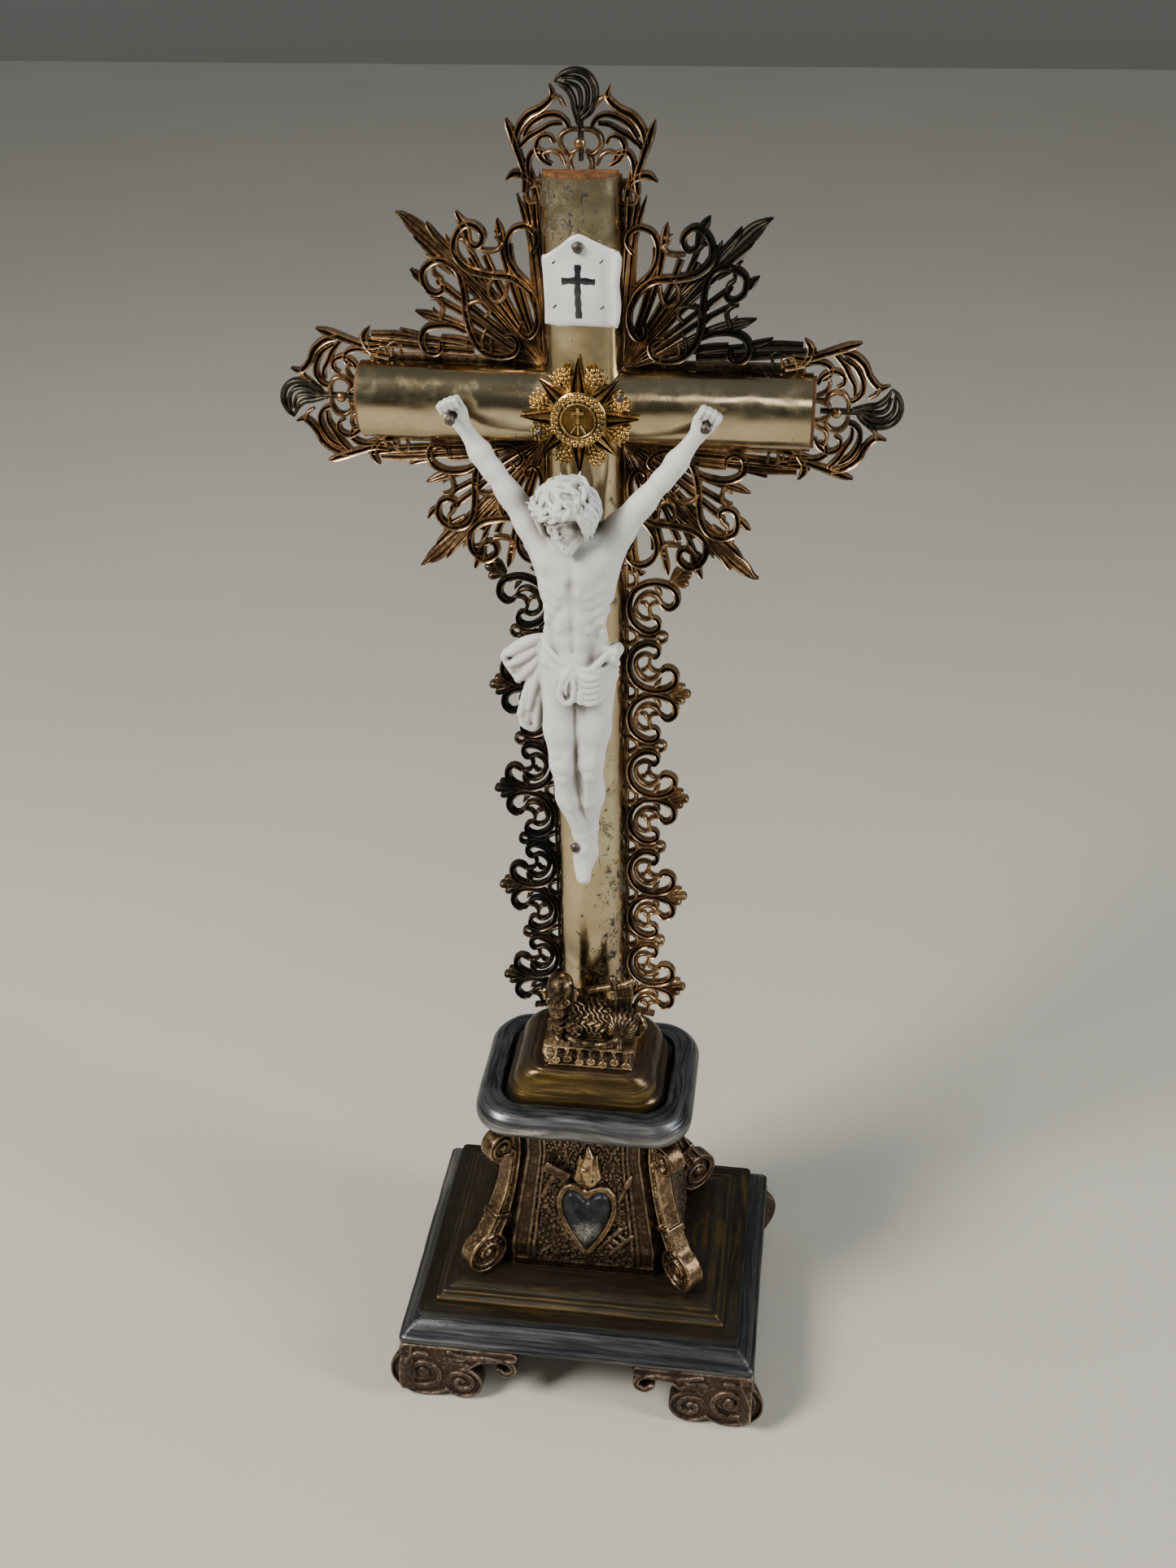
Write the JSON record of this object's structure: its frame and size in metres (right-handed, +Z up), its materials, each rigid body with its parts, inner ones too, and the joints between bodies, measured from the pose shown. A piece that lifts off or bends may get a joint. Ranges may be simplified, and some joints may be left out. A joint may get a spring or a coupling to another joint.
{
  "type": "standing altar cross",
  "caption": "Standing altar cross: sheathed wooden cross with pierced brass borders and a hanging figure, on a cast pedestal with scroll feet.",
  "frame": {"origin": "on the resting plane, under the middle of the object's box", "axes": "+X to the viewer's right, -Y towards the viewer who faces the cross, +Z up"},
  "size_m": [0.1936, 0.1148, 0.48],
  "materials": {
    "nickel_sheet": "thin rolled sheet, worn pale silver over warm brass, glossy with black tarnish specks",
    "old_wood": "bare orange-brown wood, seen at the ends and behind",
    "antique_brass": "cast and pierced, dark recesses with rubbed copper-gold ridges",
    "bright_brass": "bright rubbed brass with dark recesses",
    "dark_iron": "blackened iron, dull",
    "bisque": "unglazed white biscuit porcelain, matte",
    "glazed_white": "glossy white glazed porcelain with a black painted device",
    "bronze_figure": "dark cast bronze with rubbed gold highlights",
    "silvered_black": "worn silver leaf over blue-black, streaked",
    "olive_gilt": "worn gilding, olive and gold",
    "copper_bronze": "pitted cast bronze with pale rubbed edges",
    "brown_bronze": "matte brown cast bronze with chipped edges"
  },
  "bodies": {
    "root": {"book": "bronze_figure", "book_seals": "bronze_figure", "border_nail_1": "dark_iron", "border_nail_2": "dark_iron", "border_nail_3": "dark_iron", "border_nail_4": "dark_iron", "border_nail_5": "dark_iron", "border_nail_6": "dark_iron", "border_nail_7": "dark_iron", "border_nail_8": "dark_iron", "border_nail_9": "dark_iron", "cap_slab": "silvered_black", "console_back_left": "copper_bronze", "console_back_right": "copper_bronze", "console_front_left": "copper_bronze", "console_front_right": "copper_bronze", "core_arm": "old_wood", "core_shaft": "old_wood", "corpus": "bisque", "crest_left": "antique_brass", "crest_right": "antique_brass", "crest_top": "antique_brass", "foot_back_left": "brown_bronze", "foot_back_right": "brown_bronze", "foot_front_left": "brown_bronze", "foot_front_right": "brown_bronze", "gilt_tier": "olive_gilt", "glory_low_left": "antique_brass", "glory_low_right": "antique_brass", "glory_top_left": "antique_brass", "glory_top_right": "antique_brass", "hammer": "copper_bronze", "heart": "silvered_black", "heart_flame": "copper_bronze", "lace_left": "antique_brass", "lace_right": "antique_brass", "ladder": "copper_bronze", "lamb": "bronze_figure", "lamb_standard": "bronze_figure", "lance": "copper_bronze", "medallion_boss": "bright_brass", "medallion_nail_1": "dark_iron", "medallion_nail_2": "dark_iron", "medallion_star": "bright_brass", "medallion_tufts": "bright_brass", "nail_feet": "dark_iron", "nail_left_hand": "dark_iron", "nail_right_hand": "dark_iron", "pedestal_die": "copper_bronze", "plinth": "silvered_black", "sheath_left": "nickel_sheet", "sheath_right": "nickel_sheet", "sheath_shaft": "nickel_sheet", "sheath_top": "nickel_sheet", "tie_nut": "dark_iron", "tie_rod": "dark_iron", "tie_washer": "dark_iron", "title_nail": "dark_iron", "title_plaque": "glazed_white"}
  },
  "joints": []
}
